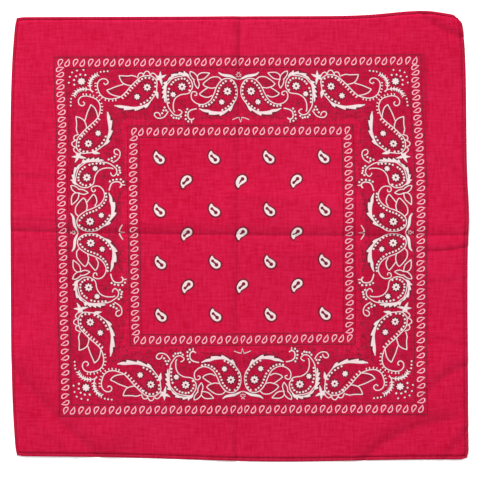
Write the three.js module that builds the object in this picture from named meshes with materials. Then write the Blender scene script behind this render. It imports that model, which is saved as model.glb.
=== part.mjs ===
// A square cotton bandana lying spread out on a flat surface.
// One printed square of cloth, with a narrow hem turned and stitched along each of its four edges.
// Units are millimetres. The cloth lies in the XY plane: +X to its right, +Y to its top, +Z up.
// The origin is under the middle of the cloth, on the surface that it lies on.

import * as THREE from 'three';

// Driving dimensions.
const HALF_WIDTH = 272; // middle of the cloth to a side edge, before that edge bows
const HALF_HEIGHT = 266; // middle of the cloth to its top or bottom edge
const HEM_WIDTH = 3.6; // a narrow hem, turned twice
const HEM_RISE = 0.8; // how far the turned layers stand above the single cloth
const HEM_ROUND = 0.35; // how far the hem's two edges fall below its middle line
const SEAM_GAP = 0.3; // left between the cloth and a hem, and between two hems
const WALL = 1.3; // the single cloth, where no crease lifts it
const MARGIN = 62; // the plain border, in which the bow of an edge dies away
const STEPS = 40; // along each side of the square
const HEM_STEPS = 2; // across a hem
const CRIMSON = 0xd61e4b;
const HEM_CRIMSON = 0xc41743;

// The corners as the cloth lies, which are not quite square.
const CORNER = {
  topLeft: new THREE.Vector2(-268, 263),
  topRight: new THREE.Vector2(265.5, 264.8),
  bottomLeft: new THREE.Vector2(-267.7, -264),
  bottomRight: new THREE.Vector2(275.3, -268),
};

// Creases, in the order in which they were pressed or crumpled into the cloth.
// Each runs from one point to another, bowed sideways by bow, and is as wide as wide on each side.
// A valley is a sharp line between two soft shoulders, and a ridge is one soft swelling.
const CREASES = [
  { kind: 'valley', from: [2, 272], to: [-2, -272], bow: 1.5, right: 9, left: 24, rise: 1 },
  { kind: 'valley', from: [276, 4], to: [-276, 4], bow: 0, right: 10, left: 20, rise: 1 },
  { kind: 'ridge', from: [3, 49], to: [126, 40], bow: 0, right: 24, left: 22, rise: 0.8 },
  { kind: 'valley', from: [-205, 215], to: [-276, 138], bow: -6, right: 14, left: 24, rise: 0.5 },
  { kind: 'valley', from: [268, 240], to: [212, 264], bow: -3, right: 9, left: 14, rise: 1 },
  { kind: 'valley', from: [-180, -256], to: [-272, -156], bow: 12, right: 12, left: 30, rise: 1.3 },
  { kind: 'valley', from: [272, -155], to: [226, -186], bow: 4, right: 10, left: 16, rise: 1 },
  { kind: 'valley', from: [236, -222], to: [150, -264], bow: 6, right: 14, left: 26, rise: 1.2 },
  { kind: 'valley', from: [-222, 17], to: [-272, 19], bow: 0, right: 9, left: 12, rise: 0.6 },
  { kind: 'valley', from: [274, -12], to: [228, -18], bow: -2, right: 9, left: 14, rise: 1 },
  { kind: 'valley', from: [272, 64], to: [226, 96], bow: 0, right: 12, left: 18, rise: 0.6 },
];
const GENTLE_SHARE = 0.35;
const WALL_LEAST = 1;
const WALL_MOST = 2.9;

const { lerp, clamp, smoothstep } = THREE.MathUtils;

// A soft bump of height 1 at middle, falling away over reach.
function lobe(s, middle, reach) {
  return Math.exp(-(((s - middle) / reach) ** 2));
}

// The four edges. Each is the chord between its two corners, plus its own bow.
// s runs from -1 at the left or bottom to 1 at the right or top.
function leftEdge(s) {
  const chord = lerp(CORNER.bottomLeft.x, CORNER.topLeft.x, (s + 1) / 2);
  return chord - (1 - s ** 4) * (6.7 + 0.8 * s);
}

function rightEdge(s) {
  const chord = lerp(CORNER.bottomRight.x, CORNER.topRight.x, (s + 1) / 2);
  return chord + (1 - s ** 8) * (3 + 3.3 * s + 2.3 * lobe(s, 0.1, 0.15));
}

function topEdge(s) {
  const chord = lerp(CORNER.topLeft.y, CORNER.topRight.y, (s + 1) / 2);
  return chord + (1 - s ** 10) * 6.5 * lobe(s, 0.82, 0.2);
}

function bottomEdge(s) {
  const chord = lerp(CORNER.bottomLeft.y, CORNER.bottomRight.y, (s + 1) / 2);
  return chord - (1 - s ** 4) * 4.2 * lobe(s, 0.15, 0.5);
}

// Where the point (u, v) of the cloth lies. The printed middle stays square, and the plain
// border takes up the bow of each edge, little by little, out to the edge itself.
function laid(u, v) {
  const across = clamp(u / HALF_WIDTH, -1, 1);
  const up = clamp(v / HALF_HEIGHT, -1, 1);
  const sideways = smoothstep(Math.abs(u), HALF_WIDTH - MARGIN, HALF_WIDTH);
  const upright = smoothstep(Math.abs(v), HALF_HEIGHT - MARGIN, HALF_HEIGHT);
  const side = u < 0 ? leftEdge(up) + HALF_WIDTH : rightEdge(up) - HALF_WIDTH;
  const end = v < 0 ? bottomEdge(across) + HALF_HEIGHT : topEdge(across) - HALF_HEIGHT;
  return new THREE.Vector2(u + sideways * side, v + upright * end);
}

// How far one crease lifts the cloth at (u, v). A ridge is a soft roof. A valley has a steep
// shoulder on its right side, as it runs, and a lower, wider one on its left.
function creaseLift(crease, u, v) {
  const from = new THREE.Vector2(...crease.from);
  const along = new THREE.Vector2(...crease.to).sub(from);
  const half = along.length() / 2;
  along.normalize();
  const offset = new THREE.Vector2(u, v).sub(from);
  const travel = offset.dot(along) - half;
  const across = offset.cross(along) - crease.bow * (1 - (travel / half) ** 2);
  const distance = Math.abs(across) / (across > 0 ? crease.right : crease.left);
  const overrun = Math.max(0, Math.abs(travel) - half) / (crease.right + crease.left);
  const shoulder = distance * Math.exp(1 - distance) * (across > 0 ? 1 : GENTLE_SHARE);
  const section = crease.kind === 'ridge' ? Math.exp(-distance) : shoulder;
  return crease.rise * section * Math.exp(-((2 * overrun) ** 2));
}

// Height of the cloth's upper face at (u, v).
function clothTop(u, v) {
  const lift = CREASES.reduce((sum, crease) => sum + creaseLift(crease, u, v), 0);
  return clamp(WALL + lift, WALL_LEAST, WALL_MOST);
}

// A wall over a rectangle of the cloth: a thin box divided into a grid, whose upper face is moved
// to topAt(u, v) and whose lower face lies flat on the surface.
function wall(u0, u1, v0, v1, acrossSteps, upSteps, topAt) {
  const geometry = new THREE.BoxGeometry(u1 - u0, v1 - v0, 1, acrossSteps, upSteps, 1);
  geometry.translate((u0 + u1) / 2, (v0 + v1) / 2, 0);
  const points = geometry.attributes.position;
  for (let i = 0; i < points.count; i += 1) {
    const u = points.getX(i);
    const v = points.getY(i);
    const place = laid(u, v);
    points.setXYZ(i, place.x, place.y, points.getZ(i) > 0 ? topAt(u, v) : 0);
  }
  geometry.computeVertexNormals();
  return geometry;
}

// A hem's upper face, from how far (u, v) is in from the cloth's edge: highest on its middle line.
function hemTop(u, v) {
  const inset = Math.min(HALF_WIDTH - Math.abs(u), HALF_HEIGHT - Math.abs(v));
  const across = (2 * inset) / HEM_WIDTH - 1;
  return clothTop(u, v) + HEM_RISE - HEM_ROUND * across ** 2;
}

function cotton(color) {
  return new THREE.MeshStandardMaterial({ color, roughness: 0.9, metalness: 0 });
}

function named(name, geometry, color) {
  const mesh = new THREE.Mesh(geometry, cotton(color));
  mesh.name = name;
  return mesh;
}

function panel() {
  const inset = HEM_WIDTH + SEAM_GAP;
  const u = HALF_WIDTH - inset;
  const v = HALF_HEIGHT - inset;
  return named('panel', wall(-u, u, -v, v, STEPS, STEPS, clothTop), CRIMSON);
}

// The top and bottom hems run the full width, and side is 1 at the top and -1 at the bottom.
function levelHem(name, side) {
  const edges = [side * HALF_HEIGHT, side * (HALF_HEIGHT - HEM_WIDTH)];
  const [v0, v1] = edges.sort((a, b) => a - b);
  return named(name, wall(-HALF_WIDTH, HALF_WIDTH, v0, v1, STEPS, HEM_STEPS, hemTop), HEM_CRIMSON);
}

// The side hems stop short of the top and bottom ones, and side is 1 on the right and -1 on the left.
function uprightHem(name, side) {
  const edges = [side * HALF_WIDTH, side * (HALF_WIDTH - HEM_WIDTH)];
  const [u0, u1] = edges.sort((a, b) => a - b);
  const v = HALF_HEIGHT - HEM_WIDTH - SEAM_GAP;
  return named(name, wall(u0, u1, -v, v, HEM_STEPS, STEPS, hemTop), HEM_CRIMSON);
}

const bandana = new THREE.Group();
bandana.add(panel());
bandana.add(levelHem('hem_top', 1));
bandana.add(levelHem('hem_bottom', -1));
bandana.add(uprightHem('hem_left', -1));
bandana.add(uprightHem('hem_right', 1));

export default bandana;
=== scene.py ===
import bpy
import numpy as np
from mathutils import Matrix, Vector


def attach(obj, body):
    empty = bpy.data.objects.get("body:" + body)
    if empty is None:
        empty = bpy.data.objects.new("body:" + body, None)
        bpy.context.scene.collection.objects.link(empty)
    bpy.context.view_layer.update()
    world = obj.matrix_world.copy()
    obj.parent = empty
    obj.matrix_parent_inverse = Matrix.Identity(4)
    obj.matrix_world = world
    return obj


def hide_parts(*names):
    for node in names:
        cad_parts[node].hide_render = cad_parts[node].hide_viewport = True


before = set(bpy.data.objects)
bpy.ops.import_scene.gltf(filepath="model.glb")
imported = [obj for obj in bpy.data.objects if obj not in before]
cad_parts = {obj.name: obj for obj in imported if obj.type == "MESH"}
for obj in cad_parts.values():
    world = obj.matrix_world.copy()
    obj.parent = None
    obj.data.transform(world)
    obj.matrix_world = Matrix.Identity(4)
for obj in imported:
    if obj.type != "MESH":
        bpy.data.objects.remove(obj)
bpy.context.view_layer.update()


# --------------------------------------
# The cotton square. One piece of thin plain-weave cotton, dyed crimson right through, washed
# soft and smoothed out flat by hand. It was stored folded in four, so two pressed lines cross
# at its middle, and slacker creases run across its corners. Lengths are in millimetres.
# --------------------------------------
MM = 0.001
HALF_WIDTH = 272  # middle of the cloth to a side edge, before that edge bows
HALF_HEIGHT = 266
MARGIN = 62  # the plain border, in which the bow of an edge dies away
TOP_LEFT, TOP_RIGHT = (-268, 263), (265.5, 264.8)
BOTTOM_LEFT, BOTTOM_RIGHT = (-267.7, -264), (275.3, -268)
HEM_WIDTH = 3.6
THICK = 0.45  # the cotton itself
REST = 0.6  # upper face of the cloth above the table, where no crease lifts it
# How far each edge stands out from the straight line between its corners.
LEFT_BOW, LEFT_SLOPE = 6.7, 0.8
RIGHT_BOW, RIGHT_SLOPE, RIGHT_BUMP = 3, 3.3, 2.3
TOP_BUMP, BOTTOM_BUMP = 6.5, 4.2
# How far the corners are drawn in, and the reach of that along the cloth.
LEFT_CORNERS, TOP_RIGHT_CORNER, BOTTOM_RIGHT_CORNER = 1.0, 3.2, 2.2
CORNER_REACH = 6.0


def lobe(s, middle, reach):
    """A soft bump: e to the minus square of the distance from its middle, over its reach."""
    return np.exp(-(((s - middle) / reach) ** 2))


def ease(x, low, high):
    """0 below low, 1 above high, and 3s^2 - 2s^3 in between, with s the share of the way."""
    s = np.clip((x - low) / (high - low), 0, 1)
    return s * s * (3 - 2 * s)


def chord(first, second, s):
    """A straight line from first at s = -1 to second at s = 1."""
    return first + (second - first) * (s + 1) / 2


def laid(u, v):
    """Where the point (u, v) of the cloth lies. Each edge is the chord between its corners plus
    its own bow, and the bow fades to nothing over the plain border, so the middle is square.
    The corners are drawn in a little, the two on the right most."""
    s, t = np.clip(u / HALF_WIDTH, -1, 1), np.clip(v / HALF_HEIGHT, -1, 1)
    left = chord(BOTTOM_LEFT[0], TOP_LEFT[0], t) - (1 - t**4) * (LEFT_BOW + LEFT_SLOPE * t)
    right_bow = RIGHT_BOW + RIGHT_SLOPE * t + RIGHT_BUMP * lobe(t, 0.1, 0.15)
    right = chord(BOTTOM_RIGHT[0], TOP_RIGHT[0], t) + (1 - t**8) * right_bow
    top = chord(TOP_LEFT[1], TOP_RIGHT[1], s) + (1 - s**10) * TOP_BUMP * lobe(s, 0.82, 0.2)
    bottom_bow = (1 - s**4) * BOTTOM_BUMP * lobe(s, 0.15, 0.5)
    bottom = chord(BOTTOM_LEFT[1], BOTTOM_RIGHT[1], s) - bottom_bow
    sideways = ease(abs(u), HALF_WIDTH - MARGIN, HALF_WIDTH)
    upright = ease(abs(v), HALF_HEIGHT - MARGIN, HALF_HEIGHT)
    x = u + sideways * np.where(u < 0, left + HALF_WIDTH, right - HALF_WIDTH)
    y = v + upright * np.where(v < 0, bottom + HALF_HEIGHT, top - HALF_HEIGHT)
    from_corner = np.hypot(HALF_WIDTH - abs(u), HALF_HEIGHT - abs(v))
    rounded = np.where(v > 0, TOP_RIGHT_CORNER, BOTTOM_RIGHT_CORNER)
    rounded = np.where(u > 0, rounded, LEFT_CORNERS) * lobe(from_corner, 0, CORNER_REACH)
    return x - np.sign(u) * rounded, y - np.sign(v) * rounded


# kind, from, to, bow to the right, width of its right side as it runs and of its left, rise.
# A valley is a sharp line between two shoulders, and a ridge is a soft roof.
CREASES = [
    # The two pressed lines where the cloth was folded in four.
    ("valley", (2, 272), (-2, -272), 1.5, 11, 24, 1.5),
    ("valley", (2, 274), (1, 212), 0, 12, 24, 1.1),
    ("valley", (276, 1), (-276, 6), -2.5, 15, 24, 1.9),
    # Slack left beside them.
    ("ridge", (3, 49), (126, 40), 0, 24, 22, 2.0),
    ("ridge", (46, -22), (122, -16), 0, 9, 22, 0.7),
    ("ridge", (-70, 15), (-130, 18), 0, 10, 12, 0.7),
    # Creases across the corners.
    ("valley", (-205, 215), (-276, 138), -6, 14, 24, 0.4),
    ("valley", (268, 240), (212, 264), -3, 9, 16, 3.0),
    ("valley", (266, 252), (232, 262), 0, 6, 8, 0.8),
    ("valley", (-180, -256), (-272, -156), -3, 19, 34, 3.7),
    ("valley", (-204, -266), (-236, -238), 0, 6, 14, 1.1),
    ("valley", (272, -155), (226, -186), 4, 13, 20, 1.9),
    ("valley", (236, -222), (150, -264), 6, 20, 30, 2.4),
    ("valley", (274, -227), (247, -262), 0, 7, 10, 1.3),
    # Short creases that run in from the two side hems.
    ("valley", (-222, 71), (-272, 72), 0, 4, 14, 0.6),
    ("valley", (-222, 17), (-272, 19), 0, 6, 12, 0.4),
    ("valley", (274, -12), (228, -18), -2, 8, 26, 1.6),
    ("valley", (272, -52), (228, -56), 0, 6, 14, 0.5),
    ("valley", (272, -132), (228, -124), 0, 7, 16, 0.7),
    ("valley", (272, 64), (226, 96), 0, 12, 18, 0.8),
]
GENTLE_SHARE = 0.35  # of a valley's rise that its left shoulder has
PRESSED = 0.1  # the sharp bottom of a valley, as a share of its rise
PRESSED_WIDE = 2.0
VALLEY_ROUND, RIDGE_ROUND = 0.5, 3  # how blunt the line of each is
DEEPEST = -0.13  # where grooves meet, the cloth rests on the table and goes no lower


def lift(u, v):
    """How far the creases raise the cloth at (u, v). Across a crease, with d the distance from
    its line over the width of that side, rounded at 0, a ridge is e^(-d) and a valley is
    d e^(1 - d), lower on its left side, less a narrow pressed groove."""
    total = np.zeros_like(u, dtype=float)
    for kind, start, end, bow, right_wide, left_wide, rise in CREASES:
        along = np.subtract(end, start).astype(float)
        half = np.hypot(*along) / 2
        along /= 2 * half
        du, dv = u - start[0], v - start[1]
        travel = du * along[0] + dv * along[1] - half
        across = du * along[1] - dv * along[0] - bow * (1 - (travel / half) ** 2)
        wide = np.where(across > 0, right_wide, left_wide)
        overrun = np.maximum(abs(travel) - half, 0) / (right_wide + left_wide)
        if kind == "ridge":
            section = np.exp(-(np.sqrt(across**2 + RIDGE_ROUND**2) - RIDGE_ROUND) / wide)
        else:
            d = (np.sqrt(across**2 + VALLEY_ROUND**2) - VALLEY_ROUND) / wide
            section = d * np.exp(1 - d) * np.where(across > 0, 1, GENTLE_SHARE)
            section -= PRESSED * np.exp(-((across / PRESSED_WIDE) ** 2))
        total += rise * section * np.exp(-((2 * overrun) ** 2))
    return np.maximum(total, DEEPEST)


def grid_faces(rows, columns, start=0):
    """The quads of a grid of points laid out row by row, facing up where u and v run that way."""
    corner = start + (np.arange(rows - 1)[:, None] * columns + np.arange(columns - 1)).ravel()
    return np.stack([corner, corner + 1, corner + columns + 1, corner + columns], 1)


def piece(name, points, faces, slot, replaced=(), smooth=True):
    """A mesh object from an array of points in millimetres and one of faces with equal sides,
    riding on the one body. Its slot is not used."""
    mesh = bpy.data.meshes.new(name)
    mesh.vertices.add(len(points))
    mesh.vertices.foreach_set("co", (points * MM).astype(np.float32).ravel())
    mesh.loops.add(faces.size)
    mesh.loops.foreach_set("vertex_index", faces.astype(np.int32).ravel())
    mesh.polygons.add(len(faces))
    starts = np.arange(0, faces.size, faces.shape[1], dtype=np.int32)
    mesh.polygons.foreach_set("loop_start", starts)
    mesh.polygons.foreach_set("use_smooth", np.full(len(faces), smooth))
    mesh.update(calc_edges=True)
    made = bpy.data.objects.new(name, mesh)
    bpy.context.scene.collection.objects.link(made)
    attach(made, "root")
    if replaced:
        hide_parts(*replaced)
    return made


def flat_map(made, uv):
    """Gives a piece a flat map of its own, from one pair of numbers a point."""
    mesh = made.data
    corners = np.zeros(len(mesh.loops), dtype=np.int32)
    mesh.loops.foreach_get("vertex_index", corners)
    layer = mesh.uv_layers.new(name="OFBake")
    layer.data.foreach_set("uv", uv[corners].astype(np.float32).ravel())


# Grid lines across and up the cloth, closer together near the two pressed lines.
LINES = 220
CROWDING = 0.68
FOLD_V = 4  # where the line pressed across the cloth lies
TUCK = 0.4  # of the cloth's rim, under the hems
share = np.linspace(-1, 1, LINES)
crowded = share - CROWDING * np.sin(np.pi * share) / np.pi
grid_u = (HALF_WIDTH - HEM_WIDTH + TUCK) * crowded
grid_v = (HALF_HEIGHT - HEM_WIDTH + TUCK) * crowded + FOLD_V * (1 - share**2)
cloth_u, cloth_v = np.meshgrid(grid_u, grid_v)
cloth_x, cloth_y = laid(cloth_u, cloth_v)
cloth_z = REST + lift(cloth_u, cloth_v)
face_points = np.stack([cloth_x, cloth_y, cloth_z], 2)

top_points = face_points.reshape(-1, 3)
under_points = top_points - [0, 0, THICK]
count = len(top_points)
top_faces = grid_faces(LINES, LINES)
under_faces = grid_faces(LINES, LINES, count)[:, ::-1]
ids = np.arange(count).reshape(LINES, LINES)
rim = np.concatenate([ids[0, :-1], ids[:-1, -1], ids[-1, :0:-1], ids[:0:-1, 0]])
ahead = np.roll(rim, -1)
rim_faces = np.stack([rim, rim + count, ahead + count, ahead], 1)
panel = piece(
    "cotton_square",
    np.concatenate([top_points, under_points]),
    np.concatenate([top_faces, under_faces, rim_faces]),
    "cloth",
    ["panel"],
)
# The flat map holds the printed face large, and the under side small in the far corner.
TOP_SHARE, TOP_START = 0.79, 0.005
UNDER_SHARE, UNDER_START = 0.195, 0.805
spread = np.stack([cloth_u / HALF_WIDTH, cloth_v / HALF_WIDTH], 2).reshape(-1, 2) / 2 + 0.5
top_map, under_map = TOP_START + TOP_SHARE * spread, UNDER_START + UNDER_SHARE * spread
flat_map(panel, np.concatenate([top_map, under_map]))


class Shade:
    """One socket of a material's node tree. Arithmetic on it adds the Math nodes for it."""

    def __init__(self, tree, socket=None):
        self.tree = tree
        self.socket = socket

    def node(self, kind, settings=None, inputs=None, output=0):
        """A new node: its settings come first, then each input's number or link."""
        made = self.tree.nodes.new(kind)
        for name, value in (settings or {}).items():
            setattr(made, name, value)
        for name, value in (inputs or {}).items():
            if isinstance(value, Shade):
                self.tree.links.new(value.socket, made.inputs[name])
            else:
                made.inputs[name].default_value = value
        return Shade(self.tree, made.outputs[output] if made.outputs else None)

    def maths(self, operation, first, second, clamp=False):
        settings = {"operation": operation, "use_clamp": clamp}
        return self.node("ShaderNodeMath", settings, {0: first, 1: second})

    def __add__(self, other):
        return self.maths("ADD", self, other)

    def __sub__(self, other):
        return self.maths("SUBTRACT", self, other)

    def __rsub__(self, other):
        return self.maths("SUBTRACT", other, self)

    def __mul__(self, other):
        return self.maths("MULTIPLY", self, other)

    __radd__ = __add__
    __rmul__ = __mul__

    def clamped(self):
        return self.maths("ADD", self, 0.0, clamp=True)

    def above(self, level, soft):
        """0 below level and 1 above it, with a ramp of width soft."""
        return self.maths("MULTIPLY", self - level, 1 / soft, clamp=True)


def noise(shade, scale, detail=2.0, seed=0.0):
    """Smooth noise from 0 to 1 on the object's own coordinates. Scale is its frequency along
    each axis, in features a metre, so unequal numbers draw it out into threads."""
    place = shade.node("ShaderNodeTexCoord", output="Object")
    inputs = {"Vector": place, "Scale": scale, "Location": (seed, seed, 0)}
    moved = shade.node("ShaderNodeMapping", {"vector_type": "POINT"}, inputs)
    inputs = {"Vector": moved, "Scale": 1.0, "Detail": detail, "Roughness": 0.55}
    return shade.node("ShaderNodeTexNoise", {}, inputs, output="Fac")


def threads(shade):
    """The uneven threads of a cheap plain weave: noise drawn out along x for the weft and along
    y for the warp, each coarse for the slubs and fine for single threads."""
    slubs = noise(shade, (55, 380, 1), 3.0) + noise(shade, (380, 55, 1), 3.0, 7.3)
    fine = noise(shade, (240, 1900, 1), 1.0, 2.1) + noise(shade, (1900, 240, 1), 1.0, 5.7)
    return slubs, fine


def mixed(shade, factor, first, second):
    """The first colour where factor is 0 and the second where it is 1."""
    settings = {"data_type": "RGBA"}
    # A Mix node's colour inputs are its seventh and eighth, after those for numbers and vectors.
    return shade.node("ShaderNodeMix", settings, {0: factor, 6: first, 7: second}, output=2)


def finished(name, build):
    """A material whose Principled shader takes what build(shade) gives: its linked inputs, its
    uniform numbers, and the height that drives its bump, as a share of a bump depth in metres."""
    material = bpy.data.materials.new(name)
    material.use_nodes = True
    tree = material.node_tree
    tree.nodes.clear()
    shade = Shade(tree)
    inputs, height, depth = build(shade)
    inputs["Normal"] = shade.node(
        "ShaderNodeBump", {}, {"Strength": 1.0, "Distance": depth, "Height": height}
    )
    surface = shade.node("ShaderNodeBsdfPrincipled", {}, inputs)
    shade.node("ShaderNodeOutputMaterial", {}, {"Surface": surface})
    return material


CRIMSON_DEEP = (0.449, 0.0003, 0.0235, 1)
CRIMSON_BRIGHT = (0.559, 0.0100, 0.062, 1)
BLACK_INK = (0.125, 0.002, 0.014, 1)


def crimson_cotton(shade):
    """Dyed cotton. The slubs and threads shift its colour, and where the attribute stipple says
    so, a fine uneven stipple of black ink is printed on it."""
    slubs, fine = threads(shade)
    cloud = noise(shade, (7, 7, 7), 2.0, 3.0)
    tone = 0.5 + 1.5 * (slubs - 1.0) + 0.6 * (fine - 1.0) + 0.6 * (cloud - 0.5)
    dyed = mixed(shade, tone.clamped(), CRIMSON_DEEP, CRIMSON_BRIGHT)
    stipple = shade.node("ShaderNodeAttribute", {"attribute_name": "stipple"}, output="Fac")
    specks = noise(shade, (1300, 1300, 1300), 2.0, 11.0).above(0.42, 0.2)
    patches = noise(shade, (230, 230, 230), 3.0, 5.0).above(0.3, 0.4)
    printed = mixed(shade, ((0.12 + 0.7 * specks * patches) * stipple).clamped(), dyed, BLACK_INK)
    inputs = {
        "Base Color": printed,
        "Roughness": 0.9 - 0.06 * (fine - 1.0),
        "Specular IOR Level": 0.08,
        "Sheen Weight": 0.03,
        "Sheen Roughness": 0.5,
    }
    return inputs, 0.6 * slubs + 0.4 * fine, 0.00022


cotton = finished("crimson_cotton", crimson_cotton)
panel.data.materials.append(cotton)


# --------------------------------------
# The hems. Each edge is turned twice to the back into a narrow roll, three layers thick, that
# ropes a little along its length. The top and bottom hems run the full width of the cloth, and
# the side hems are tucked between them.
# --------------------------------------
# Section of a hem, as distance in from the cloth's edge and height above the table.
HEM_SECTION = np.array(
    [(3.7, 0.1), (2.2, 0.0), (0.9, 0.02), (0.25, 0.16), (0.0, 0.42), (0.18, 0.72)]
    + [(0.6, 0.93), (1.2, 1.03), (1.9, 1.05), (2.6, 0.99), (3.2, 0.9), (3.7, 0.79)]
)
HEM_STATIONS = 420
ROPE_PITCH = 9.0
ROPE_RISE = 0.09
ROPE_SLANT = 4.5  # across the hem for one turn of the wave
TUCKED = 0.3  # of a side hem's end, under the top and bottom hems
HEM_MAP = 0.6  # the length in metres that fills the flat map of a hem


def tube_faces(stations, around, closed=False):
    """The quads of a tube of points laid out station by station, facing out."""
    i = np.arange(stations if closed else stations - 1)[:, None]
    j = np.arange(around)
    ahead = (i + 1) % stations * around
    here = i * around
    beside = (j + 1) % around
    return np.stack([here + j, here + beside, ahead + beside, ahead + j], 2).reshape(-1, 4)


def outward(points, faces):
    """A closed shape with its faces turned about if they face in. Fanned into triangles, its
    faces enclose a sixth of the sum of a . (b x c), which is negative where they face in."""
    first = points[faces[:, 0]]
    enclosed = 0.0
    for k in range(1, faces.shape[1] - 1):
        enclosed += (first * np.cross(points[faces[:, k]], points[faces[:, k + 1]])).sum()
    return points, faces if enclosed > 0 else faces[:, ::-1]


def hem_points(length_half, edge_half, side, upright):
    """A hem's points, station by station: its section carried along an edge of the cloth, on the
    laid shape, raised with the creases, and with a low slanting wave that ropes the roll."""
    s = np.linspace(-length_half, length_half, HEM_STATIONS)[:, None]
    inset, height = HEM_SECTION.T
    across = side * (edge_half - inset)[None, :] + 0 * s
    along = s + 0 * across
    u, v = (across, along) if upright else (along, across)
    x, y = laid(u, v)
    turns = along / ROPE_PITCH + inset / ROPE_SLANT
    rope = ROPE_RISE * np.sin(2 * np.pi * turns) * (height > 0.5)
    z = height + rope + lift(u, v) * ease(height, 0.0, 0.8)
    return np.stack([x, y, z], 2).reshape(-1, 3)


def hem(name, node, length_half, edge_half, side, upright):
    points = hem_points(length_half, edge_half, side, upright)
    around = len(HEM_SECTION)
    faces = tube_faces(HEM_STATIONS, around)
    # Each end is closed by quads between the two faces of the section.
    j = np.arange(around // 2 - 1)
    cap = np.stack([j, j + 1, around - 2 - j, around - 1 - j], 1)
    last = cap + (HEM_STATIONS - 1) * around
    points, faces = outward(points, np.concatenate([faces, cap[:, ::-1], last]))
    made = piece(name, points, faces, "hem", [node])
    along = points[:, 1] if upright else points[:, 0]
    ring = np.tile(np.arange(around) / around, HEM_STATIONS)
    # The roll's flat map is one long strip.
    flat_map(made, np.stack([along * MM / HEM_MAP + 0.5, 0.02 + 0.05 * ring], 1))
    made.data.materials.append(hem_cotton_painted_shade)
    return made


def doubled_cotton_painted_shade(shade):
    """The same cotton where it is doubled over, mixed a little towards black ink: painted shade for
    three layers that let less light come back through, and for the shaded roll of the edge.
    """
    inputs, weave, depth = crimson_cotton(shade)
    # Painted shade: 0.22 of black ink mixed into the whole hem's colour.
    inputs["Base Color"] = mixed(shade, 0.22, inputs["Base Color"], BLACK_INK)
    return inputs, weave, depth


hem_cotton_painted_shade = finished("hem_cotton_painted_shade", doubled_cotton_painted_shade)
SIDE_HALF = HALF_HEIGHT - HEM_WIDTH + TUCKED
# Of each edge: half its length, how far out it lies, on which side, and whether it is upright.
EDGES = {
    "top": (HALF_WIDTH, HALF_HEIGHT, 1, False),
    "bottom": (HALF_WIDTH, HALF_HEIGHT, -1, False),
    "left": (SIDE_HALF, HALF_WIDTH, -1, True),
    "right": (SIDE_HALF, HALF_WIDTH, 1, True),
}
hems = [hem(f"{edge}_hem", f"hem_{edge}", *place) for edge, place in EDGES.items()]


# --------------------------------------
# The stitching. The hem is held by one row of running stitches in matching thread, close to its
# inner edge. Each stitch is a short arch of thread that dips towards the cloth at both ends.
# --------------------------------------
STITCH_INSET = 2.9
STITCH_PITCH = 2.6
STITCH_LONG = 1.9
STITCH_THICK = 0.34
STITCH_REST, STITCH_RISE = 0.89, 0.14  # of its centre line at its ends, and to its middle
STITCH_RINGS = 5
STITCH_SIDES = 4
FIRST_STITCH = 3  # from the end of a hem


def stitch_row(length_half, edge_half, side, upright):
    """Stitches along one edge. Along a stitch, t from -1 to 1, its centre line rises and falls as
    1 - t^2 and its radius as the square root of 1 - 0.8 t^2."""
    centres = np.arange(FIRST_STITCH - length_half, length_half - FIRST_STITCH, STITCH_PITCH)
    centres = centres[:, None, None]
    t = np.linspace(-1, 1, STITCH_RINGS)[None, :, None]
    turn = 2 * np.pi * np.arange(STITCH_SIDES)[None, None, :] / STITCH_SIDES
    radius = STITCH_THICK / 2 * np.sqrt(1 - 0.8 * t**2)
    along = centres + STITCH_LONG / 2 * t + 0 * turn
    across = side * (edge_half - STITCH_INSET) + radius * np.cos(turn) + 0 * centres
    u, v = (across, along) if upright else (along, across)
    x, y = laid(u, v)
    z = STITCH_REST + STITCH_RISE * (1 - t**2) + radius * np.sin(turn) + lift(u, v)
    points = np.stack([x, y, z], 3)
    size = STITCH_RINGS * STITCH_SIDES
    ends = [[3, 2, 1, 0], [size - 4, size - 3, size - 2, size - 1]]
    one = np.concatenate([tube_faces(STITCH_RINGS, STITCH_SIDES), ends])
    faces = one[None] + size * np.arange(len(points))[:, None, None]
    return outward(points.reshape(-1, 3), faces.reshape(-1, 4))


def joined(parts):
    """Point and face arrays of many parts put into one pair of arrays."""
    starts = np.cumsum([0] + [len(points) for points, _ in parts[:-1]])
    points = np.concatenate([points for points, _ in parts])
    faces = np.concatenate([faces + start for (_, faces), start in zip(parts, starts)])
    return points, faces


stitches = piece("hem_stitches", *joined([stitch_row(*place) for place in EDGES.values()]), "hem")


def crimson_thread(shade):
    """Spun sewing thread: fine twist lines across it and a slight change of shade."""
    twist = noise(shade, (2600, 2600, 2600), 1.0, 4.0)
    cloud = noise(shade, (40, 40, 40), 2.0, 9.0)
    tone = (0.3 + 0.5 * (twist + cloud - 1.0)).clamped()
    inputs = {
        "Base Color": mixed(shade, tone, CRIMSON_DEEP, CRIMSON_BRIGHT),
        "Roughness": 0.7 - 0.1 * twist,
        "Sheen Weight": 0.1,
    }
    return inputs, twist, 0.0001


stitches.data.materials.append(finished("crimson_thread", crimson_thread))


# --------------------------------------
# The white print. Discharge and opaque white are screened on in one pass: two bands of drops, a
# wide band of paisleys, feathers and flowers, and rows of small paisleys in the middle. One
# eighth of the wide band is drawn out below, and the mirrored eighths repeat it.
# --------------------------------------
OUTER_BAND = (220, 206)  # half sides of the two dark lines round each band of drops
INNER_BAND = (135, 121)
# How far the edges and the middle of a mark stand above the cloth.
DARK_UP = (0.03, 0.05)
WHITE_UP = (0.09, 0.12)
EYE_UP = (0.14, 0.17)  # black marks on white ones
SUNK = 0.03  # the hidden side of the ink, inside the cloth
# Where the middle of the print falls on the cloth, and how far it is stretched across and up.
PRINT_MIDDLE = (2.1, 0.7)
PRINT_STRETCH = (1.0055, 0.9787)


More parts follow.
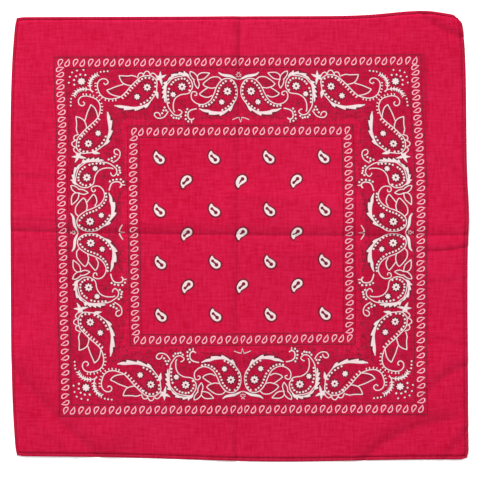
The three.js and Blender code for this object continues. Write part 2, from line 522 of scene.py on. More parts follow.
def printed_at(p, q):
    """Where the point (p, q) of the square design falls on the cloth, which was printed a little
    off square: it leans to the left as it goes up, most of all at the top, and the two fold
    lines take up a little of the cloth beside them."""
    lean = 0.7 - 0.010 * q - 2.7 * ease(q, 110, 200)
    taken_up = 1.1 * (1 - 2 * ease(p, -6, 6)) * ease(abs(q), 90, 150)
    bulge = 1.3 * p / OUTER_BAND[0] * lobe(q, 50, 50)
    raised = ease(-q, -6, 6) * (1 - ease(-q, 110, 190)) * (0.6 + ease(p, 0, 100))
    u = PRINT_MIDDLE[0] + PRINT_STRETCH[0] * p + lean + taken_up + bulge
    return u, PRINT_MIDDLE[1] + PRINT_STRETCH[1] * q + 0.0055 * p + raised


def settled(p, q):
    """Where a point of the wide band's figures moves to. They come from a screen of their own,
    set a little off the bands: its halves lie closer together, and the figures at the middle of
    the two upright sides stand further out."""
    at_side = ease(abs(p) - abs(q), -40, 40)
    left, below = 1 - ease(p, -6, 6), 1 - ease(q, -6, 6)
    high_corner = ease(p + q, 330, 390)
    level_across = 2.5 * left - 1.7 * below
    level_up = 0.3 * (1 - below) + 3.4 * below * ease(abs(p), 110, 200) - 2.2 * high_corner
    side_across = 3.8 * np.sign(p) * lobe(q, 0, 55) * ease(abs(p), 140, 152) + 0.3
    low_side = (4.8 + 2.9 * left) * (1 - 0.4 * ease(abs(q), 40, 190))
    side_up = (1 - below) * (2.1 * left - 0.3) + below * low_side
    across = level_across + (side_across - level_across) * at_side
    up = level_up + (side_up - level_up) * at_side
    return p + across, q + up


def on_cloth(p, q, up):
    """Points of the design as places above the upper face of the cloth, found between the four
    nearest points of the cloth's own grid."""
    u, v = printed_at(p, q)
    column = np.interp(u, grid_u, np.arange(LINES))
    row = np.interp(v, grid_v, np.arange(LINES))
    i = np.minimum(column.astype(int), LINES - 2)
    j = np.minimum(row.astype(int), LINES - 2)
    s, t = (column - i)[:, None], (row - j)[:, None]
    low = face_points[j, i] * (1 - s) + face_points[j, i + 1] * s
    high = face_points[j + 1, i] * (1 - s) + face_points[j + 1, i + 1] * s
    place = low * (1 - t) + high * t
    place[:, 2] += up
    return place


def curve(points, step=1.3, closed=False):
    """A smooth line through points, at even steps. Between b and c, with neighbours a and d, it
    is half of 2b + (c - a)t + (2a - 5b + 4c - d)t^2 + (3b - a - 3c + d)t^3."""
    knots = np.array(points, float)
    if closed:
        knots = np.concatenate([knots[-1:], knots, knots[:2]])
    else:
        knots = np.concatenate([2 * knots[:1] - knots[1:2], knots, 2 * knots[-1:] - knots[-2:-1]])
    a, b, c, d = knots[:-3], knots[1:-2], knots[2:-1], knots[3:]
    t = np.linspace(0, 1, 10, endpoint=False)[:, None, None]
    line = 2 * b + (c - a) * t + (2 * a - 5 * b + 4 * c - d) * t**2
    line = (line + (3 * b - a - 3 * c + d) * t**3) / 2
    line = np.concatenate([line.transpose(1, 0, 2).reshape(-1, 2), knots[-2:-1]])
    run = np.concatenate([[0], np.cumsum(np.hypot(*np.diff(line, axis=0).T))])
    stations = max(4, round(run[-1] / step) + 1)
    s = np.linspace(0, run[-1], stations)
    line = np.stack([np.interp(s, run, line[:, 0]), np.interp(s, run, line[:, 1])], 1)
    return line[:-1] if closed else line


def directions(line, closed=False):
    """Unit vectors along a line at each of its points, and a quarter turn from those."""
    if closed:
        ahead = np.roll(line, -1, 0) - np.roll(line, 1, 0)
    else:
        ahead = np.gradient(line, axis=0)
    ahead = ahead / np.hypot(*ahead.T)[:, None]
    return ahead, np.stack([-ahead[:, 1], ahead[:, 0]], 1)


def triangles(quads):
    """Each quad cut into two triangles."""
    return np.concatenate([quads[:, [0, 1, 2]], quads[:, [0, 2, 3]]])


def ribbon(line, left, right, low, high, closed=False):
    """A thin closed band along a line. Its section is a left edge, a raised middle, a right edge
    and a hidden under side. Left and right are the widths to either side of the line."""
    beside = directions(line, closed)[1]
    left = np.broadcast_to(left, len(line))[:, None]
    right = np.broadcast_to(right, len(line))[:, None]
    middle = line + beside * (left - right) / 2
    flat = np.stack([line + beside * left, middle, line - beside * right, middle], 1)
    up = np.broadcast_to([low, high, low, -SUNK], (len(line), 4))
    points = np.concatenate([flat.reshape(-1, 2), up.reshape(-1, 1)], 1)
    quads = tube_faces(len(line), 4, closed)[:, ::-1]
    if not closed:
        last = 4 * (len(line) - 1)
        quads = np.concatenate([quads, [[0, 1, 2, 3]], [[last + 3, last + 2, last + 1, last]]])
    return outward(points, triangles(quads))


def patch(outline, low, high, rings=1):
    """A flat closed shape inside an outline that its own middle can see all of, with its face
    in rings round that middle so that a large one follows the cloth."""
    middle = outline.mean(0)
    size = len(outline)
    share = 1 - np.arange(rings)[:, None, None] / rings
    flat = np.concatenate([(middle + (outline - middle) * share).reshape(-1, 2), [middle, middle]])
    up = np.concatenate([np.full(size, low), np.full(size * (rings - 1) + 1, high), [-SUNK]])
    i = np.arange(size)
    ahead = np.roll(i, -1)
    ring = size * np.arange(rings - 1)[:, None]
    between = np.stack([ring + i, ring + ahead, ring + size + ahead, ring + size + i], 2)
    last = size * (rings - 1)
    top = np.stack([last + i, last + ahead, 0 * i + size * rings], 1)
    under = np.stack([ahead, i, 0 * i + size * rings + 1], 1)
    faces = np.concatenate([triangles(between.reshape(-1, 4)), top, under])
    return outward(np.concatenate([flat, up[:, None]], 1), faces)


def round_shape(centre, radius, corners=8, petals=0, depth=0.0):
    """The outline of a dot, or of a flower: its radius is r (1 - depth + depth cos(petals a))."""
    turn = 2 * np.pi * np.arange(corners) / corners
    reach = radius * (1 - depth + depth * np.cos(petals * turn))
    return np.array(centre) + np.stack([np.cos(turn), np.sin(turn)], 1) * reach[:, None]


# The eighth of the wide band is drawn by a, the distance along a side of the design from its
# corner, and b, the depth in from the outer dark line, both in millimetres.
white, dark = [], []
# How far the dark key line shows beyond a white line, a solid white shape, a bead or a flower.
KEY, HALO, RING, FLOWER_RING = 0.25, 0.7, 0.6, 1.2
SPOT = 0.8  # radius of the dark spots between beads and between pegs


def stroke(points, width=1.2):
    """A white line of the drawing, over a wider and darker key line of uneven width."""
    line = curve(points)
    half = width / 2
    uneven = half + KEY * (1 + 0.45 * np.sin(1.9 * np.arange(len(line))))
    white.append(ribbon(line, half, half, *WHITE_UP))
    dark.append(ribbon(line, uneven, half + KEY, *DARK_UP))


def feather(points, smooth_side, barbed_side, barbs, depth=0.5, forward=False, both=False):
    """A thick white plume with saw teeth along its right side as it is drawn. Each barb swells
    against the way it is drawn, or forward along it, and is cut back. A branch has both sides
    barbed."""
    line = curve(points, 0.7)
    s = np.linspace(0, 1, len(line))
    body = np.minimum(1, np.minimum(6 * s + 0.1, 5 * (1 - s) + 0.1))
    tooth = s * barbs % 1
    saw = 1 - depth * ((1 - tooth) if forward else tooth)
    other = saw if both else 1
    right, left = barbed_side * body, smooth_side * body
    white.append(ribbon(line, right * saw, left * other, *WHITE_UP))
    dark.append(ribbon(line, right + HALO, left + HALO, *DARK_UP))


# Half the outline of a pointed lobe: the share of the way along it, and of its full width.
LOBE = np.array([(0, 0.35), (0.12, 0.8), (0.3, 1), (0.5, 0.85), (0.7, 0.55), (0.88, 0.28)])


def lens(start, end, width, key=HALO):
    """A pointed white lobe between two points, widest a third of the way along."""
    start, end = np.array(start, float), np.array(end, float)
    s, swell = LOBE.T
    swell = width / 2 * swell
    ahead = (end - start) / np.hypot(*(end - start))
    side = np.array([-ahead[1], ahead[0]])
    spine = start + (end - start) * s[:, None]
    for wider, up, sheet in ((0, WHITE_UP, white), (key, DARK_UP, dark)):
        out = (swell + wider)[:, None] * side
        tip = end + ahead * wider
        sheet.append(patch(np.concatenate([spine - out, [tip], (spine + out)[::-1]]), *up))


def needles(points, reach, pitch, slant):
    """Short pointed barbs on both sides of a line, which stand out from it by the reach and lean
    along it by the slant, which is negative where they lean back."""
    line = curve(points, 0.4)
    ahead, across = directions(line)
    number = max(2, round(0.4 * (len(line) - 1) / pitch))
    for place in np.linspace(2, len(line) - 3, number).astype(int):
        for side in (1, -1):
            tip = line[place] + side * reach * across[place] + slant * ahead[place]
            lens(line[place], tip, 1.5, 0.5)


def in_turn(line, step, pitch):
    """The places along a line of even steps for marks at a pitch, and those halfway between."""
    gaps = max(1, round(step * (len(line) - 1) / pitch))
    at = (np.arange(2 * gaps + 1) * (len(line) - 1) / (2 * gaps)).round().astype(int)
    return at[::2], at[1::2]


def teeth(points, near, far, pitch, width=1.3, contour=0.0):
    """Short white pegs that stand on the right side of a line as it is drawn, closely set, with
    a dark spot between each pair, and a dark contour beyond them where one is given."""
    line = curve(points, 0.4)
    side = directions(line)[1]
    pegs, gaps = in_turn(line, 0.4, pitch)
    for place in pegs:
        peg = line[place] + side[place] * np.linspace(near, far, 4)[:, None]
        half = width / 2 * np.array([0.8, 0.9, 1.05, 0.75])
        white.append(ribbon(peg, half, half, *WHITE_UP))
    for place in gaps:
        spot = line[place] + side[place] * near * 2
        dark.append(patch(round_shape(spot, SPOT, 6), *DARK_UP))
    if contour:
        dark.append(ribbon((line + contour * side)[::4], 0.55, 0.55, *DARK_UP))


def dot(centre, radius=1.3):
    """A round white bead in its dark ring."""
    white.append(patch(round_shape(centre, radius), *WHITE_UP))
    dark.append(patch(round_shape(centre, radius + RING), *DARK_UP))


def beads(points, pitch=4.7, contour=0.0):
    """A row of beads at an even pitch, a dark spot between each two, and, where a contour is
    given, a dark line that far to the right of the row as it is drawn."""
    line = curve(points, 0.5)
    places, gaps = in_turn(line, 0.5, pitch)
    for place in line[places]:
        dot(place)
    for place in line[gaps]:
        dark.append(patch(round_shape(place, SPOT, 6), *DARK_UP))
    if contour:
        inside = (line + contour * directions(line)[1])[::3]
        dark.append(ribbon(inside, 0.55, 0.55, *DARK_UP))


def flower(centre, radius, petals=8, eye=0.0):
    """A solid white flower with blunt petals, ringed by the key line, with a dark eye."""
    outline = round_shape(centre, radius, 6 * petals, petals, 0.15)
    white.append(patch(outline, *WHITE_UP, 3))
    dark.append(patch(round_shape(centre, radius + FLOWER_RING, 24), *DARK_UP, 3))
    if eye:
        dark.append(patch(round_shape(centre, eye, 8), *EYE_UP))


def evenly(line, share):
    """Points at the given shares of the way along a line."""
    place = share * (len(line) - 1)
    index = np.arange(len(line))
    return np.stack([np.interp(place, index, line[:, 0]), np.interp(place, index, line[:, 1])], 1)


HATCH_WIDTH = 0.7


def hatch(first, second, lines):
    """Dark shading lines inside a leaf, shared out evenly between its two edges."""
    low, high = curve(first), curve(second)
    for share in (np.arange(lines) + 1) / (lines + 1):
        ends = np.linspace(0.12 + 0.2 * abs(share - 0.5), 0.9, 20)
        line = evenly(low, ends) * (1 - share) + evenly(high, ends) * share
        dark.append(ribbon(line, HATCH_WIDTH / 2, HATCH_WIDTH / 2, *DARK_UP))


def leaf(tip, first, second, lines=4):
    """A leaf in outline, from its tip along two edges, shaded by hatching."""
    stroke([tip, *first])
    stroke([tip, *second])
    hatch([tip, *first], [tip, *second], lines)


# On the diagonal: a flower and two dots, which belong to both eighths and so are put down once.
flower((31, 31), 4.6)
dot((24.7, 24.7), 1.25)
dot((20, 20), 1.1)
corner_white, corner_dark = white[:], dark[:]
white.clear()
dark.clear()

# The corner: dots in rings round the flower, and half of a branch that turns the corner.
for spot in [(35.3, 22.8), (29.5, 22.5)]:
    dot(spot, 1.25)
for spot in [(33, 16.5), (25.5, 17.5), (53, 18.8), (57, 18.3), (61.3, 18)]:
    dot(spot, 1.1)
branch = [(49.5, 22), (45, 24.5), (42, 28.5), (40.6, 33), (40.8, 38)]
feather(branch, 1.1, 1.1, 6, 0.3, both=True)
needles(branch, 3.1, 3.0, -1.8)
stroke([(40.8, 37), (41.5, 41), (44, 44.5)])

# The first paisley, its tail curled towards the corner, with a crest of three scallops.
stroke(
    [(56.5, 32.5), (58.5, 34.5), (61.5, 32.5), (61, 29.5), (58.5, 27.5), (54.5, 27.5), (51, 30)]
    + [(49.5, 33.5), (49.5, 38.5), (52, 46), (55.5, 50), (60, 52), (65, 52.5), (70.5, 51.5)]
    + [(76, 49.5), (82, 44), (90, 35), (98, 27.5), (100.5, 25.5), (105, 24), (109, 23.7)]
    + [(113, 24), (116.5, 26.3), (119, 29), (120, 32.5), (119.5, 37), (119, 42), (117, 47)]
    + [(112, 54), (108.5, 57.5), (103.5, 60), (98, 61.5), (92, 62.5), (85.5, 62), (76, 60.7)]
    + [(69, 61)]
)
for scallop in [
    [(96.5, 26.5), (98.5, 21.5), (101, 20.4), (103.5, 21.3), (103.5, 25)],
    [(104, 22.5), (106.3, 18.8), (108.2, 18.2), (110.7, 19.5), (112, 22.5)],
    [(112.3, 23), (114.3, 20.6), (117, 21.3), (119.3, 24), (120.5, 28)],
]:
    stroke(scallop)
feather(
    [(68.5, 60), (74, 61.3), (80, 62.6), (87, 63.3), (93, 63.2), (99, 62), (104.5, 60), (109, 57)]
    + [(113, 53.5)],
    0.8,
    3.5,
    4,
    0.7,
)
lens((118.3, 42.5), (120.3, 52.5), 4.2)
for row in [
    [(98, 30.5), (102.5, 27.6), (107.5, 26.2), (113.6, 27.2), (117.4, 31), (117.8, 37)],
    [(116.3, 43.5), (113.3, 48.8), (109, 53), (104.6, 56.2), (99.6, 58.6)],
]:
    beads(row, contour=3)
teeth([(76.5, 49), (82, 44), (90, 35), (97.5, 28)], 0.8, 4.0, 4.2, 1.6, 6.5)
tail = [(49.3, 33), (49.5, 39.5), (52, 46), (55.5, 50), (60, 52), (65, 52.5), (70, 51.7)]
teeth(tail, 0.8, 3.2, 3.7)
flower((108, 38), 4.6, eye=1.4)
flower((95.4, 49.5), 3.6, 7)
leaf(
    (74.8, 23.5),
    [(85, 24), (90, 23.4), (95.7, 25)],
    [(76.4, 28.4), (79.3, 32.7), (84.3, 35), (89.3, 36)],
)
leaf(
    (60, 41.6),
    [(65, 39.5), (70.7, 37), (80, 34)],
    [(63.6, 45.6), (68, 47.7), (72, 48.8), (76, 49.5)],
)

# A star of four pointed lobes between the two paisleys.
for tip in [(124.2, 18.3), (131.5, 22.6), (126, 36.5), (118.4, 29.8), (119.6, 23.6)]:
    lens((124, 26.5), tip, 3.2)

# The second paisley, standing on its curled tail inside a long toothed plume.
stroke(
    [(145, 25), (155.5, 24), (158.5, 27), (161, 30.6), (162, 35), (161.8, 39), (160, 42)]
    + [(158, 45), (154.3, 46.3), (149.7, 46.8), (146, 48), (142, 50.6), (139.6, 54)]
    + [(138.2, 58.5), (138, 63), (138.3, 66.3), (139.3, 68.5)]
)
stroke(
    [(145, 25), (138, 27.5), (134, 32), (131, 36.3), (130, 44), (130.4, 51.3), (131, 57.7)]
    + [(132, 62), (134.3, 66.3), (137, 70), (139.3, 72), (143.6, 72.7), (147, 70.6)]
    + [(148, 68.4), (145.7, 66), (143.6, 65.6)]
)
feather(
    [(159.5, 28.5), (157, 25), (153, 22.8), (147, 22.2), (141, 23.7), (136, 27), (132.5, 31)],
    0.9,
    3.2,
    4,
    0.75,
    forward=True,
)
feather([(133, 29.5), (130, 35), (128.8, 41), (128.4, 48), (129, 57)], 1.0, 3.7, 5, 0.8, True)
lens((153.5, 22.5), (152.5, 18), 3)
flower((149.6, 37.4), 4.9, eye=1.4)
flower((138.6, 47), 3.4, 7)
crown = [(137, 34.5), (140, 31), (144.3, 28.4), (150.7, 27.4), (155, 28.9), (158.3, 33)]
beads(crown, 3.9, 2.8)
beads([(159.5, 37), (158.2, 42)])
beads([(132.8, 57), (132.4, 50), (132.7, 45), (134, 40)], 4.2, 2.6)
stroke(
    [(131.5, 67.5), (129.5, 71), (126.5, 74.3), (122, 76), (117.5, 75.3), (115, 72)]
    + [(116, 69.3), (119.2, 69), (121.4, 71.2), (122, 73.5)]
)
beads([(124.2, 69.8), (126.2, 66), (127.6, 62.8)], 4)
dot((129.3, 66.5))
beads([(135.4, 72.7), (138, 75.6), (140.7, 75.6), (143.6, 76.5), (146.4, 74)], 3.4)

# A comma-shaped curl and a spray of three leaves.
stroke(
    [(165.7, 64.5), (162, 65.2), (158.6, 66.3), (156, 68.4), (155, 71.3), (155, 74), (156, 76.6)]
    + [(158, 77.7), (160.4, 77.7), (162, 76)],
    1.4,
)
stroke([(158, 77.5), (158.9, 79.5), (159, 82)])
beads([(154.6, 65), (152.9, 68.4), (152.1, 73), (152.1, 77), (155, 80)], 4.2)
leaf(
    (159.6, 18.8),
    [(163.6, 20.2), (166.4, 22.7), (168.2, 25.5), (168.6, 28.8)],
    [(159.6, 22.7), (161.8, 26.3), (164, 29)],
    2,
)
leaf(
    (168.3, 40),
    [(170, 36.3), (170, 32.7), (168.4, 28.8)],
    [(166, 36.6), (164.3, 32.7), (164, 28)],
    2,
)
leaf(
    (183, 21),
    [(178, 20.5), (173.6, 20.6), (170, 22.4), (168.2, 25)],
    [(180, 24.5), (176.4, 27.7), (172, 29), (168.6, 28.8)],
    2,
)

# The third paisley, beside the middle of a side, with two leaves along its tail.
stroke(
    [(164, 48), (166.4, 48), (167, 45.6), (165, 43.8), (162, 43.8), (160.4, 46.3), (160, 50)]
    + [(161, 53.4), (163.6, 56.3), (167, 58.4), (171.4, 59.5), (175.7, 58.8), (180, 56.6)]
    + [(183.6, 53.4), (186, 49), (188, 45), (189.6, 40.6), (191.8, 36.3), (195, 32), (198.6, 29)]
    + [(203.6, 27.7), (208.6, 28.8), (212, 32), (214.6, 36.3), (216, 40.6), (216.4, 45)]
    + [(215.7, 48.4), (214.3, 52), (211.4, 56.3), (208.6, 60.6), (205, 64), (200.7, 67)]
    + [(195, 68.8), (189.3, 68.8), (183.6, 68), (178.6, 66.3), (174.3, 66), (168.6, 64.5)]
)
feather(
    [(169, 64.7), (175, 66.5), (181, 68.5), (187, 70), (193, 70), (199, 68), (203.5, 65.3)]
    + [(208, 61), (211, 56.5)],
    0.8,
    3.5,
    4,
    0.7,
)
flower((203.6, 43.4), 4.9, eye=1.4)
flower((196, 56.6), 3.4, 7)
beads([(189.5, 50.6), (191, 47), (192.5, 43), (194.6, 38), (198, 34), (202, 31)], 4.2, 3)
beads([(169.3, 61), (174, 61.7), (179.3, 60.3), (183.6, 57.4), (186.8, 54)], 4.2, 2.6)
beads([(208.2, 30.8), (212, 35), (213.8, 41), (214, 46.3), (212.3, 51.3)], 4.5, 2.8)
beads([(210, 55.4), (207, 59), (203.6, 62), (200.4, 64.4), (196.4, 66.4)], 4.2, 3)
leaf(
    (174.6, 34.5),
    [(177, 32), (180.7, 29), (185, 26.3), (189.3, 25.6), (193.6, 26.3), (197, 29.5)],
    [(177, 37), (181.4, 38.8), (185, 39.5), (190.4, 38.8)],
)
leaf(
    (170, 46.3),
    [(173.6, 43.4), (177, 41), (180, 39)],
    [(172, 48.4), (175.7, 50), (180, 50.6), (185, 48.4)],
)

# The middle of a side: a plume that meets its mirror image, a small knot of crossing lines over
# the meeting, and a thin pointed bracket with a dark lozenge below.
plume = curve([(193.5, 20.3), (197.5, 23.2), (203, 24.4), (208, 25.2), (212, 27), (216, 28.6)], 0.8)
swell = np.sin(np.pi * np.linspace(0.03, 0.97, len(plume))) ** 0.8
for sheet, beyond, up in ((white, 0.3, WHITE_UP), (dark, 1, DARK_UP)):
    sheet.append(ribbon(plume, beyond + 1.2 * swell, beyond + 1.5 * swell, *up))
for width, line in [
    (0.9, [(213, 27.5), (216, 28.8), (218, 29), (220, 28.2)]),
    (0.8, [(214.5, 23.5), (217, 22.6), (219.9, 21)]),
    (0.7, [(216.5, 19.8), (219.9, 21)]),
    (0.8, [(215, 25.5), (217, 24.5), (219.9, 26)]),
    (0.9, [(207.8, 78.4), (212, 76.4), (216.6, 75.3)]),
    (0.9, [(216.8, 75.3), (218.4, 78.2), (219.9, 81.2)]),
]:
    stroke(line, width)
dark.append(patch(np.array([(218.2, 76), (219.9, 74.5), (219.9, 79.5)]), *DARK_UP))

# The ragged dark edge of the ground, bulging round the curls and dipping between them.
RAGGED = [(75.5, 76), (82, 78), (90, 77), (98, 78.5), (106, 77), (112, 79), (118, 80), (125, 80.5)]
RAGGED = RAGGED + [(131, 77.5), (137, 79.5), (143, 80.5), (149, 79), (154, 83.5), (160, 84.5)]
RAGGED = RAGGED + [(166, 79), (173, 76), (181, 76.5), (189, 76), (197, 77), (204, 77)]
RAGGED = RAGGED + [(210, 75.5), (215, 73), (220, 71.5)]


def specks(points, number, spread, seed):
    """Small dark blots scattered about a line by a bell curve of the given spread."""
    source = np.random.default_rng(seed)
    places = evenly(curve(points, 1), source.random(number))
    places = places + source.normal(0, spread, places.shape)
    for place, radius in zip(places, source.uniform(0.4, 0.95, number)):
        dark.append(patch(round_shape(place, radius, 5), *DARK_UP))


specks(RAGGED, 130, 1.5, 3)
# Loose blots in the open ground: behind the branch, and between the paisleys and the edge.
for number, spread_by, seed, line in [
    (14, 1.6, 5, [(52, 20), (60, 22), (68, 30)]),
    (26, 1.8, 6, [(62, 60), (72, 68), (84, 72), (98, 72), (112, 68)]),
    (12, 1.6, 7, [(120, 60), (118, 66), (126, 62)]),
    (12, 1.8, 8, [(146, 54), (150, 58), (150, 62)]),
]:
    specks(line, number, spread_by, seed)


def repeated(parts, diagonals=True):
    """The drawing of one eighth put down eight times: p = a - 220 and q = 220 - b, turned over
    the two middle lines and the diagonals. A turned-over copy has its faces turned back."""
    points, faces = joined(parts)
    p, q, up = points[:, 0] - OUTER_BAND[0], OUTER_BAND[0] - points[:, 1], points[:, 2]
    copies = []
    for across in (1, -1):
        for upward in (1, -1):
            turned_over = across * upward > 0
            plain = faces[:, ::-1] if turned_over else faces
            copies.append((np.stack([*settled(across * p, upward * q), up], 1), plain))
            if diagonals:
                turned = settled(-across * q, -upward * p)
                copies.append((np.stack([*turned, up], 1), plain[:, ::-1]))
    return copies


DROP_WIDE, DROP_HIGH, DROP_LEAN, DROP_WALL = 4.2, 4.9, 0.33, 1.25
DROP_UP = 0.11  # its edges above the cloth
DROP_CORNERS = 14


def drop_ring(centre, mirror, flip):
    """The white outline of one drop of a band: a triangle carried round the line with, for t
    from 0 to 2 pi, width sin t times sin(t / 2)^1.2 and height cos t, leaning over by a third."""
    t = 2 * np.pi * np.arange(DROP_CORNERS) / DROP_CORNERS
    wide, high = DROP_WIDE * np.sin(t) * np.sin(t / 2) ** 1.2, DROP_HIGH * np.cos(t)
    outline = np.stack([wide + DROP_LEAN * high, high], 1) * [mirror, flip]
    if mirror * flip > 0:
        outline = outline[::-1]
    inner = outline - DROP_WALL * (outline - outline.mean(0)) / np.hypot(*outline.T)[:, None]
    middle = (outline + inner) / 2
    flat = np.stack([outline, inner, middle], 1) + centre
    up = np.broadcast_to([DROP_UP, DROP_UP, -SUNK], (len(outline), 3))
    points = np.concatenate([flat.reshape(-1, 2), up.reshape(-1, 1)], 1)
    return points, triangles(tube_faces(len(outline), 3, True)[:, ::-1])


def band_of_drops(band, along_count, upright_count, crowded=0.0):
    """The drops of one band. On each side they point up and down the band's width in turn. The
    upright rows can be crowded towards the top: their places are t + crowded t (1 - t)."""
    half = sum(band) / 2
    rings = []
    across = np.linspace(-half, half, along_count + 1)
    for number, p in enumerate(across):
        way = 1 if number % 2 else -1
        for q in (half, -half):
            rings.append(drop_ring((p, q), way, way))
    t = np.linspace(0, 1, upright_count + 1)[1:-1]
    upward = half * (2 * (t + crowded * t * (1 - t)) - 1)
    for number, q in enumerate(upward):
        way = 1 if number % 2 else -1
        for p in (half, -half):
            points, faces = drop_ring((q, p), way, way)
            rings.append((points[:, [1, 0, 2]], faces[:, ::-1]))
    return rings


bands = band_of_drops(OUTER_BAND, 47, 51, 0.1) + band_of_drops(INNER_BAND, 28, 30)


# A small paisley about its own middle, with its tip up and a little to the left, 17 mm long.
PAISLEY = [(-3.4, 9.2), (-1.1, 5.7), (2.7, 3.4), (6.5, 0.4), (7.3, -2.7), (6.1, -6.1), (1.9, -8)]
PAISLEY = PAISLEY + [(-2.7, -6.1), (-5.7, -1.9), (-6.9, 2.7), (-5.4, 7.3)]
FIELD_DARK, FIELD_WHITE, FIELD_EYE = 0.08, 0.16, 0.3  # heights of their inks, which cross the folds
FIELD_STEP = (65.3, 32.3)  # between the paisleys of a row, and between rows
FIELD_SHIFT = {1: (0.6, -1.3), -1: (0, 2.2)}  # of the rows of four, and of the rows of three
BODY_SIZE, OUTLINE_SIZE = 0.91, 1.07  # of the white body and the dark line round it
FINE = 0.04  # how far the middle of a mark in the field stands above its edges


def small_paisleys():
    """The rows of the centre field: four paisleys and three in turn, leaning opposite ways, each
    with a small dark figure of two joined spots."""
    light, heavy = [], []
    for row in range(-3, 4):
        number = 4 if row % 2 else 3
        flip = 1 if row % 2 else -1
        outline = curve(PAISLEY, 1.6, True) * [1, flip]
        figure = np.array([(-2.9, 2.2), (-0.8, 0.2), (1.8, -2.6)]) * [1, flip]
        if flip < 0:
            outline = outline[::-1]
        for column in range(number):
            p = FIELD_STEP[0] * (column - (number - 1) / 2)
            centre = np.array([p, FIELD_STEP[1] * row]) + FIELD_SHIFT[flip]
            body, rim = centre + outline * BODY_SIZE, centre + outline * OUTLINE_SIZE
            light.append(patch(body, FIELD_WHITE, FIELD_WHITE + FINE, 9))
            heavy.append(ribbon(rim, 1.0, 1.0, DARK_UP[0], FIELD_DARK, True))
            for spot, radius in ((0, 1.9), (2, 2.3)):
                shape = round_shape(centre + figure[spot], radius)
                heavy.append(patch(shape, FIELD_EYE, FIELD_EYE + FINE, 3))
            link = curve(centre + figure, 1)
            heavy.append(ribbon(link, 1.1, 1.1, FIELD_EYE + 0.01, FIELD_EYE + FINE))
    return light, heavy


light_paisleys, dark_paisleys = small_paisleys()


PRINT_MAP = 460  # the width of the print that fills its flat map


def print_piece(name, parts, soaked_parts=()):
    """All the marks of one ink as one piece laid on the cloth. The finest soak into it most."""
    points, faces = joined([*parts, *soaked_parts])
    place = on_cloth(points[:, 0], points[:, 1], points[:, 2])
    made = piece(name, place, faces, "cloth", smooth=False)
    flat_map(made, 0.5 + points[:, :2] / PRINT_MAP)
    soaked = np.zeros(len(points), dtype=np.float32)
    soaked[sum(len(part[0]) for part in parts):] = 1
    made.data.attributes.new("soaked", "FLOAT", "POINT").data.foreach_set("value", soaked)
    return made


solid_marks = repeated(white) + repeated(corner_white, False) + light_paisleys
white_print = print_piece("white_print", solid_marks, bands)


def white_ink(shade):
    """White ink on crimson cotton. It covers the crowns of the threads, and the crimson shows
    through a little between them and where the ink went on thin."""
    slubs, fine = threads(shade)
    worn = noise(shade, (150, 150, 150), 3.0, 1.7)
    bare = (0.16 + 1.1 * (slubs - 1.0) + 0.5 * (fine - 1.0) + 0.8 * (worn - 0.5)).clamped()
    soaked = shade.node("ShaderNodeAttribute", {"attribute_name": "soaked"}, output="Fac")
    ink = mixed(shade, soaked * 0.8, (0.72, 0.61, 0.61, 1), (0.86, 0.41, 0.50, 1))
    inputs = {
        "Base Color": mixed(shade, bare * 0.5, ink, (0.64, 0.26, 0.31, 1)),
        "Roughness": 0.78 - 0.08 * fine,
        "Specular IOR Level": 0.3,
    }
    return inputs, 0.6 * slubs + 0.4 * fine, 0.00015


white_print.data.materials.append(finished("white_ink", white_ink))


# --------------------------------------
# The black print. A second screen carries the key lines round the white shapes, the hatching,
# the straight lines of the bands, and a fine stipple that darkens the ground of the wide band.
# --------------------------------------
LINE_WIDTH = 1.0
LINE_STATIONS = 160


def square_line(half):
    """A thin straight line round the design, as four ribbons that meet at the corners."""
    ends = np.linspace(-half, half, LINE_STATIONS)
    across = np.stack([ends, 0 * ends + half], 1)
    sides = [across, across[:, ::-1], across * [1, -1], across[:, ::-1] * [-1, 1]]
    return [ribbon(side, LINE_WIDTH / 2, LINE_WIDTH / 2, *DARK_UP) for side in sides]


rules = []
for half in OUTER_BAND + INNER_BAND:
    rules = rules + square_line(half)
drawn = repeated(dark) + repeated(corner_dark, False)
black_print = print_piece("black_print", drawn + dark_paisleys + rules)


def black_ink(shade):
    """Black ink soaked into crimson cotton: it takes well on some threads and badly on others,
    so the lines break up and the crimson warms them."""
    slubs, fine = threads(shade)
    worn = noise(shade, (330, 330, 330), 3.0, 6.1)
    bare = (0.05 + 1.0 * (slubs - 1.0) + 0.5 * (fine - 1.0) + 1.2 * (worn - 0.5)).clamped()
    inputs = {
        "Base Color": mixed(shade, bare, BLACK_INK, (0.44, 0.008, 0.040, 1)),
        "Roughness": 0.84 - 0.06 * fine,
        "Specular IOR Level": 0.25,
    }
    return inputs, 0.6 * slubs + 0.4 * fine, 0.00015


black_print.data.materials.append(finished("black_ink", black_ink))


# The same for the stipple's screen.
STIPPLE_MIDDLE = (3.1, 0.7)
STIPPLE_STRETCH = (1.0045, 0.9787)
THINNER = 0.9  # the stipple of the bands of drops, as a share of the wide band's


def stipple_amount():
    """How much stipple each point of the cloth's face carries. It fills the wide band from its
    outer line to the ragged edge and, a little more thinly, both bands of drops."""
    p = (cloth_u - STIPPLE_MIDDLE[0]) / STIPPLE_STRETCH[0]
    q = (cloth_v - STIPPLE_MIDDLE[1]) / STIPPLE_STRETCH[1]
    far = np.maximum(abs(p), abs(q))
    near = np.minimum(abs(p), abs(q))
    depth = OUTER_BAND[0] - far
    along = OUTER_BAND[0] - near
    edge = np.interp(along, *np.array(RAGGED).T)
    end, start, stop = OUTER_BAND[0] - np.array([OUTER_BAND[1], *INNER_BAND])
    wide = ease(depth, end - 1, end + 1) * (1 - ease(depth, edge - 2, edge))
    outer = ease(depth, -1, 0) * (1 - ease(depth, end, end + 1))
    inner = ease(depth, start - 1, start) * (1 - ease(depth, stop, stop + 1))
    return wide + THINNER * (outer + inner)


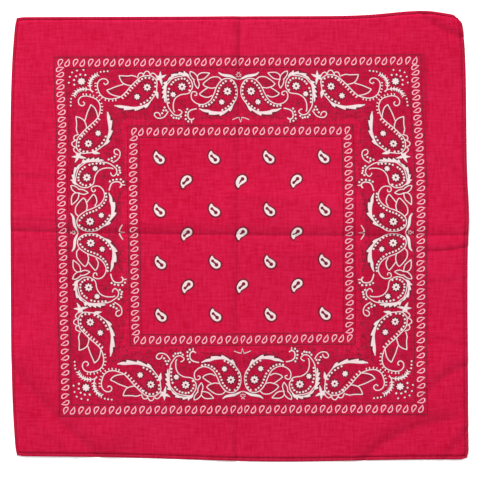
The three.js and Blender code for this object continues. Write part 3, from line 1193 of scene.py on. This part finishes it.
stipple = panel.data.attributes.new("stipple", "FLOAT", "POINT")
amount = np.concatenate([stipple_amount().ravel(), np.zeros(count)])
stipple.data.foreach_set("value", amount.astype(np.float32))


# --------------------------------------
# The table, the light and the camera. The bandana lies on a plain white table that glows a
# little, a painted light that washes out the cloth's shadow, under a large soft light from above
# its top edge, and the camera looks straight down on it.
# --------------------------------------
TABLE_HALF = 3.0
CAMERA_HEIGHT = 2.0
FRAME_WIDTH = 0.576  # what the camera takes in, across the table
CAMERA_PLACE = (0.0009, -0.0046, CAMERA_HEIGHT)
SENSOR = 36
# Painted glow of the table, which is no lamp, so that the cloth casts hardly any shadow on it.
TABLE_PAINTED_GLOW = 0.4
ROOM_LIGHT = 0.38
LAMP_SIZE = 3.2
LAMP_WATTS = 1080
LAMP_PLACE = (-2.8, 6.0, 5.3)

table_mesh = bpy.data.meshes.new("table")
corners = [(x * TABLE_HALF, y * TABLE_HALF, 0) for x, y in [(-1, -1), (1, -1), (1, 1), (-1, 1)]]
table_mesh.from_pydata(corners, [], [(0, 1, 2, 3)])
table = bpy.data.objects.new("table", table_mesh)
bpy.context.scene.collection.objects.link(table)


def white_table_painted_glow(shade):
    """Milky white acrylic with a barely visible grain. It glows a little, a painted light, so that
    the thin cloth casts hardly any shadow on it."""
    grain = noise(shade, (300, 300, 300), 2.0)
    colour = mixed(shade, grain, (0.955, 0.955, 0.955, 1), (0.965, 0.965, 0.965, 1))
    inputs = {
        "Base Color": colour,
        "Roughness": 0.9,
        "Specular IOR Level": 0.0,
        # Painted glow: the table gives off light of its own, though it is no lamp.
        "Emission Color": (1.0, 1.0, 1.0, 1),
        "Emission Strength": TABLE_PAINTED_GLOW,
    }
    return inputs, grain, 0.00002


table_mesh.materials.append(finished("white_table_painted_glow", white_table_painted_glow))

world = bpy.data.worlds.new("studio")
world.use_nodes = True
background = world.node_tree.nodes["Background"]
background.inputs["Color"].default_value = (1.0, 1.0, 1.0, 1)
background.inputs["Strength"].default_value = ROOM_LIGHT
bpy.context.scene.world = world

softbox = bpy.data.lights.new("softbox", "AREA")
softbox.shape = "SQUARE"
softbox.size = LAMP_SIZE
softbox.energy = LAMP_WATTS
lamp = bpy.data.objects.new("softbox", softbox)
lamp.location = LAMP_PLACE
lamp.rotation_euler = Vector(LAMP_PLACE).to_track_quat("Z", "Y").to_euler()
bpy.context.scene.collection.objects.link(lamp)

camera_data = bpy.data.cameras.new("camera")
camera_data.sensor_width = SENSOR
camera_data.lens = SENSOR * CAMERA_HEIGHT / FRAME_WIDTH
camera = bpy.data.objects.new("camera", camera_data)
camera.location = CAMERA_PLACE
bpy.context.scene.collection.objects.link(camera)
bpy.context.scene.camera = camera
bpy.context.scene.view_settings.view_transform = "Standard"
